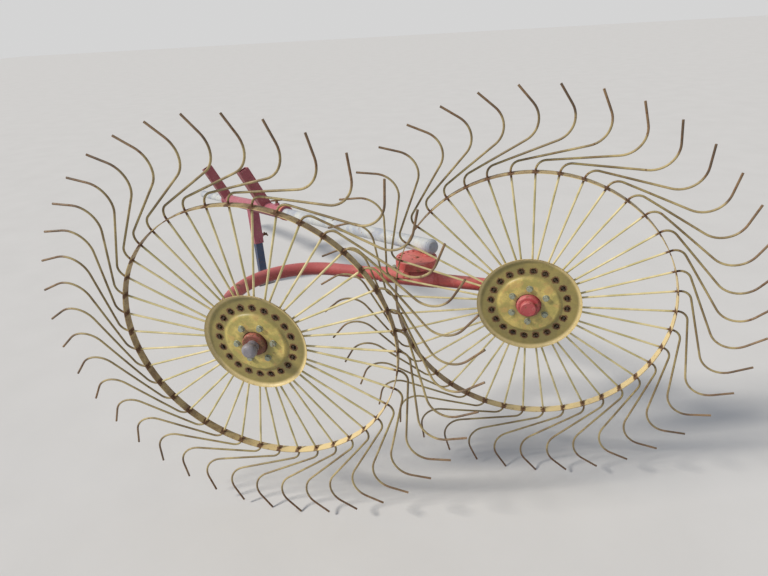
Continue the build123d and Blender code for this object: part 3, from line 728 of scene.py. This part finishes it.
# A set bolt with a lock nut holds the left collar, and a nut pulls the left spindle up behind the crank
# plate. Both have gone pale and dull.
SET_BOLT_FLATS = 0.016
SPINDLE_NUT_FLATS = 0.030
SPINDLE_RADIUS = 0.0098
SET_BOLT_AT = (-0.084, 78, 0.0288)      # along the arm, degrees up from its front, out from its middle
set_bolt = joined(
    "collar_set_bolt",
    [
        (hex_head("lock_nut", SET_BOLT_FLATS, 0.0, 0.0065), Matrix()),
        (washer("bolt_neck", 0.005, 0.006, 0.010, FEWER_SIDES), Matrix()),
        (hex_head("bolt_head", SET_BOLT_FLATS, 0.009, 0.0155), Matrix.Rotation(radians(17), 4, "Z")),
    ],
)
add_piece("collar_set_bolt", set_bolt, round_arm(*SET_BOLT_AT), zinc, "arm")
spindle_nut = joined(
    "left_spindle_nut",
    [
        (washer("spindle_washer", 0.020, 0.0, 0.003), Matrix()),
        (hex_head("spindle_nut", SPINDLE_NUT_FLATS, 0.003, 0.018), Matrix.Rotation(radians(12), 4, "Z")),
        (washer("spindle_end", SPINDLE_RADIUS, 0.018, 0.024, FEWER_SIDES), Matrix()),
    ],
)
behind_crank = left_wheel @ Matrix.Translation((0, 0, CRANK_BACK)) @ Matrix.Rotation(pi, 4, "X")
add_piece("left_spindle_nut", spindle_nut, behind_crank, zinc, "arm")

# The swivel bracket is a sleeve on the arm with a bent strap and a round flange, in the same red paint. The
# sleeve is painted paler and pinker than the rest, partly its paint and partly a painted highlight. A grease
# nipple stands on the back of the sleeve.
SLEEVE_RADIUS = 0.031
NIPPLE_FLATS = 0.011
NIPPLE_HEXAGON = 0.004      # height of its foot
NIPPLE_AT = (0.040, 125, SLEEVE_RADIUS - PROUD / 2)
STRAP_FACES = (-0.043, -0.025)      # X of the upright leg's faces, from the middle of the sleeve
STRAP_LEG = (-0.012, 0.0452)        # X from which and to which the leg under the flange is welded
STRAP_HALF = 0.030
FLANGE_UNDERSIDE = 0.056
# The sleeve's paler pink is partly its paint and partly a painted highlight.
red, highlight_pink = (0.56, 0.085, 0.090, 1), (0.80, 0.29, 0.28, 1)
lit_sleeve_pink = red_finish("sleeve_finish", red, highlight_pink, size=30.0, share=0.17, seed=12.0)
red, faded_and_lit_red = (0.46, 0.055, 0.050, 1), (0.68, 0.20, 0.17, 1)
bracket_red = red_finish("bracket_finish", red, faded_and_lit_red, size=30.0, share=0.24, seed=9.0)
wear(["pivot_sleeve"], lit_sleeve_pink)
wear(["bracket_strap", "bracket_flange", "index_plate", "boom_boss", "swivel_pin", "swivel_nut"], bracket_red)

loop = []
for x, order in zip(STRAP_FACES, (1, -1)):
    for y in steps(-STRAP_HALF * order, STRAP_HALF * order, 24):
        height = sqrt(SLEEVE_RADIUS**2 - y * y) - ARM_DROP * x
        loop.append(arm_pivot + Vector((x - PROUD * order, y * WIDER, height + PROUD)))
half = STRAP_HALF + PROUD / 2
edge = [(STRAP_LEG[0], -half), (STRAP_LEG[1], -half), (STRAP_LEG[1], half), (STRAP_LEG[0], half)]
strap_edge = [arm_pivot + Vector((x, y, FLANGE_UNDERSIDE - PROUD / 2)) for x, y in edge]
bracket_seams = [(loop, True), (strap_edge, False)]
beads("bracket_welds", bracket_seams, "swivel_bracket", bracket_red, "red_paint", radius=0.0038, seed=6)

nipple_profile = [
    # radius, height above the sleeve
    (0.0042, 0.0045),
    (0.0036, 0.0075),
    (0.0024, 0.0090),
    (0.0030, 0.0105),
    (0.0031, 0.0125),
    (0.0016, 0.0145),
]
rings = [hex_ring(NIPPLE_FLATS, height, FEWER_SIDES) for height in (0.0, NIPPLE_HEXAGON)]
rings += [round_ring(radius, height, FEWER_SIDES) for radius, height in nipple_profile]
nipple = closed_rings("sleeve_grease_nipple", rings)
add_piece("sleeve_grease_nipple", nipple, round_arm(*NIPPLE_AT), zinc, "swivel_bracket")

# The boom is a long round tube in weathered off-white paint, chalky and grimy, with freckles of rust. It is
# bedded on the index plate by a welded saddle. One old bolt hole in its side is only painted: a near-black
# spot, its painted shade, in a ring of rust.
BOOM_RADIUS = 0.027
BOOM_RISE = 0.031           # from the index plate to its middle
BOOM_ASIDE = 0.050          # from the swivel pin to its middle
BOOM_LEVEL = cos(radians(9.1))
BOOM_FALL = 0.158           # the sine of the same slope
BOOM_OVERHANG = 0.025       # the cap seams' places along it, from where it passes the pin
BOOM_END = 3.380
SADDLE_RADIUS = 0.0185
BED_HALF = 0.0148           # of the line on which it beds on the index plate
BED_WIDER = 1.04
INDEX_TOP = 0.0144          # above the swivel joint's place
OLD_HOLE = Vector((0.0075, 0.0259, 0.776))      # aside, up and along the boom
boom_along = Vector(joints["boom_slide"]["axis"]).normalized()
boom_side = Vector((-boom_along.y, boom_along.x, 0)).normalized()
boom_up = boom_along.cross(boom_side)
swivel = Vector(joints["bracket_swivel"]["pos_m"])
boom_start = swivel + Vector((0, 0, INDEX_TOP + BOOM_RISE)) - boom_side * BOOM_ASIDE
boom_frame = Matrix.Translation(boom_start) @ Matrix((boom_side, boom_up, boom_along)).transposed().to_4x4()
old_hole = boom_frame @ OLD_HOLE

boom_white, tree, shader, place = surface("boom_finish")
cloud = put(tree, "ShaderNodeTexNoise", None, place, Scale=8.0, Detail=6.0, Roughness=0.65).outputs[0]
fine = put(tree, "ShaderNodeTexNoise", None, place, Scale=90.0, Detail=5.0, Roughness=0.7).outputs[0]
found = rusty(tree, place, size=24.0, share=0.15, seed=14.0)
chalk = mixed(tree, ramp(tree, cloud, 0.34, 0.66), (0.30, 0.33, 0.40, 1), (0.54, 0.555, 0.53, 1))
chalk = mixed(tree, ramp(tree, fine, 0.48, 0.72, 0.0, 0.5), chalk, (0.42, 0.38, 0.26, 1))
away = put(tree, "ShaderNodeVectorMath", {"operation": "DISTANCE"}, place, tuple(old_hole)).outputs["Value"]
ringed = sums(tree, "MAXIMUM", found["Mask"], ramp(tree, away, 0.008, 0.013, 0.7, 0.0))
# The old bolt hole is only painted: a near-black spot stands for its painted shade.
chalk = mixed(tree, ramp(tree, away, 0.0055, 0.0070, 1.0, 0.0), chalk, (0.012, 0.010, 0.010, 1))
ringed = sums(tree, "MULTIPLY", ringed, ramp(tree, away, 0.0055, 0.0070))
finish_paint(tree, shader, chalk, ringed, found, gloss=0.5, bump=0.25)
wear(["boom_tube", "boom_near_cap", "boom_far_cap"], boom_white)

bed = []
lift = 0.0008
for x in steps(-BED_HALF, BED_HALF, 25):
    down = sqrt(BOOM_RADIUS**2 - x * x)
    onward = (BOOM_RISE - BOOM_LEVEL * down) / BOOM_FALL
    bed.append(boom_frame @ Vector((x * BED_WIDER, -down, onward)) + Vector((0, 0, lift)))
heading = Vector((boom_along.x, boom_along.y, 0)).normalized()
saddle = boom_start - boom_along * (BOOM_OVERHANG / 4)
saddle_foot, saddle_top = [], []
for i in range(SIDES):
    turn = 2 * pi * i / SIDES
    across, onward = SADDLE_RADIUS * sin(turn), SADDLE_RADIUS * cos(turn)
    spot = saddle + boom_side * across + heading * onward
    saddle_foot.append(Vector((spot.x, spot.y, swivel.z + INDEX_TOP + lift)))
    fall = (onward * boom_along.z - sqrt(BOOM_RADIUS**2 - across**2)) / BOOM_LEVEL
    saddle_top.append(Vector((spot.x, spot.y, saddle.z + fall)))
boom_seams = [(bed, False), (saddle_foot, True), (saddle_top, True)]
beads("index_plate_welds", boom_seams, "boom", bracket_red, "red_paint", radius=0.0034, seed=9)
cap_seams = [hoop(boom_frame, BOOM_RADIUS - 0.0006, end) for end in (-BOOM_OVERHANG, BOOM_END)]
beads("boom_cap_welds", cap_seams, "boom", boom_white, "boom_paint", radius=0.0022, seed=12)

# The hitch sleeve, its two slanted bars and the leg tube are the arm's red painted darker and cooler, as
# painted shade. The sleeve's near collar was painted again in orange.
HITCH_RADIUS = 0.038
COLLAR_SEAMS = (1.4565, 2.6435)     # places along the boom, from where it passes the pin
BARS_AT = (1.745, 2.600)
LEG_AT = 2.060
BAR_LEAN = radians(23)
BAR_HALF = 0.032
LEG_TUBE_HALF = 0.030
# The hitch's reds are the red paint darkened and cooled: painted shade.
shaded_rose, faded_and_lit_rose = (0.27, 0.048, 0.080, 1), (0.50, 0.175, 0.215, 1)
shaded_hitch_rose = red_finish("hitch_sleeve_finish", shaded_rose, faded_and_lit_rose, size=26.0, share=0.22, seed=20.0)
red, faded_and_lit_red = (0.24, 0.036, 0.050, 1), (0.46, 0.145, 0.160, 1)
shaded_hitch_red = red_finish("hitch_bar_finish", red, faded_and_lit_red, size=26.0, share=0.24, seed=21.0)
orange, faded_and_lit_orange = (0.48, 0.095, 0.055, 1), (0.68, 0.24, 0.16, 1)
orange_red = red_finish("near_collar_finish", orange, faded_and_lit_orange, size=34.0, share=0.22, seed=27.0)
wear(["hitch_sleeve", "far_hitch_collar", "leg_tube"], shaded_hitch_rose)
wear(["left_hitch_bar", "right_hitch_bar"], shaded_hitch_red)
wear(["near_hitch_collar"], orange_red)

hitch_seams = [hoop(boom_frame, HITCH_RADIUS + PROUD / 2, distance) for distance in COLLAR_SEAMS]


def square(half, count):
    """Points round a square, evenly spaced on each side."""
    line = steps(-half, half, count + 1)[:-1]
    two_sides = [(t, -half) for t in line] + [(half, t) for t in line]
    return two_sides + [(-x, -y) for x, y in two_sides]


bar_up = boom_up * cos(BAR_LEAN) + boom_side * sin(BAR_LEAN)
bar_axes = Matrix((boom_along, bar_up.cross(boom_along), bar_up)).transposed().to_4x4()
for distance in BARS_AT:
    bar = Matrix.Translation(boom_start + boom_along * distance) @ bar_axes
    saddle = []
    for x, y in square(BAR_HALF + PROUD / 2, 12):
        saddle.append(bar @ Vector((x, y, sqrt(HITCH_RADIUS**2 - min(abs(y), BAR_HALF) ** 2))))
    hitch_seams.append((saddle, True))
leg_top = boom_start + boom_along * LEG_AT
leg_front = Vector((-boom_side.y, boom_side.x, 0))
leg_axes = Matrix((boom_side, leg_front, Vector((0, 0, 1)))).transposed().to_4x4()
leg_frame = Matrix.Translation(leg_top) @ leg_axes
slope = boom_along.z / BOOM_LEVEL * leg_front.dot(heading)
saddle = []
for x, y in square(LEG_TUBE_HALF + PROUD / 2, 12):
    height = slope * y - sqrt(HITCH_RADIUS**2 - min(abs(x), LEG_TUBE_HALF) ** 2) / BOOM_LEVEL
    saddle.append(leg_frame @ Vector((x, y, height)))
hitch_seams.append((saddle, True))
beads("hitch_welds", hitch_seams, "hitch", shaded_hitch_rose, "red_paint", radius=0.0038, seed=15)

# Each clamp screw runs in a nut that is welded on and painted with the sleeve. Its rolled thread shows bare
# between the nut and the cross bar.
BOOM_SCREW_AT = 1.560
LEG_SCREW_AT = -0.215       # below the boom's middle
SCREW_NUT_FLATS = 0.026
BOOM_NUT = (0.0365, 0.0490)         # from and to, out from the middle of the tube that the screw clamps
BOOM_THREAD = (0.0490, 0.058)
LEG_NUT = (0.0295, 0.0415)
LEG_THREAD = (0.0415, 0.056)
outward = radians(-90)
boom_screw = boom_frame @ Matrix.Translation((0, 0, BOOM_SCREW_AT)) @ Matrix.Rotation(outward, 4, "X")
leg_screw = leg_frame @ Matrix.Translation((0, 0, LEG_SCREW_AT)) @ Matrix.Rotation(outward, 4, "Y")
weld_nuts = joined(
    "clamp_screw_nuts",
    [
        (hex_head("boom_nut", SCREW_NUT_FLATS, *BOOM_NUT), boom_screw),
        (hex_head("leg_nut", SCREW_NUT_FLATS, *LEG_NUT), leg_screw),
    ],
)
add_piece("clamp_screw_nuts", weld_nuts, Matrix(), shaded_hitch_rose, "hitch")
thread, given, gives = recipe(
    "rolled_thread",
    [
        ("Radius", "Float", 0.008),
        ("Pitch", "Float", 0.002),
        ("Length", "Float", 0.010),
        ("Finish", "Material", None),
    ],
)
rounds = sums(thread, "DIVIDE", given["Length"], given["Pitch"])
radius, length = given["Radius"], given["Length"]
coil = put(thread, "GeometryNodeCurveSpiral", None, 24, rounds, radius, radius, length, False)
ridge = put(thread, "GeometryNodeCurvePrimitiveCircle", by_radius, 4, Radius=0.0008)
coil = put(thread, "GeometryNodeCurveToMesh", None, coil.outputs[0], ridge.outputs[0], Fill_Caps=True)
coil = put(thread, "GeometryNodeRealizeInstances", None, coil.outputs[0])
coil = put(thread, "GeometryNodeSetMaterial", None, coil.outputs[0], Material=given["Finish"])
thread.links.new(coil.outputs[0], gives["Geometry"])
for name, screw, (start, end) in (
    ("boom_screw_thread", boom_screw, BOOM_THREAD),
    ("leg_screw_thread", leg_screw, LEG_THREAD),
):
    empty = bpy.data.meshes.new(name + "_start")
    here = screw @ Matrix.Translation((0, 0, start))
    grow(name, empty, thread, "hitch", "bare_steel", here, Length=end - start, Finish=bare)

# The leg slides in its tube. It is a square tube with a foot plate welded on, in dark blue paint with a
# little rust, and dried mud at the foot.
LEG_HALF = 0.024
FOOT_SEAM_HEIGHT = 0.0085
leg_blue, tree, shader, place = surface("leg_finish")
cloud = put(tree, "ShaderNodeTexNoise", None, place, Scale=14.0, Detail=5.0).outputs[0]
height = put(tree, "ShaderNodeSeparateXYZ", None, place).outputs[2]
found = rusty(tree, place, size=30.0, share=0.26, seed=23.0)
blue = mixed(tree, cloud, (0.020, 0.034, 0.080, 1), (0.045, 0.070, 0.135, 1))
muddy = sums(tree, "MULTIPLY", ramp(tree, height, 0.01, 0.13, 0.85, 0.0), ramp(tree, cloud, 0.30, 0.60))
blue = mixed(tree, muddy, blue, (0.26, 0.21, 0.15, 1))
finish_paint(tree, shader, blue, found["Mask"], found, gloss=0.52, bump=0.3, stain=0.06)
wear(["stand_leg", "foot_plate"], leg_blue)
foot = Matrix.Translation((leg_top.x, leg_top.y, FOOT_SEAM_HEIGHT)) @ leg_axes
foot_seam = [foot @ Vector((x, y, 0)) for x, y in square(LEG_HALF + PROUD / 2, 8)]
beads("foot_weld", [(foot_seam, True)], "stand_leg", leg_blue, "blue_paint", radius=0.0032, seed=18)
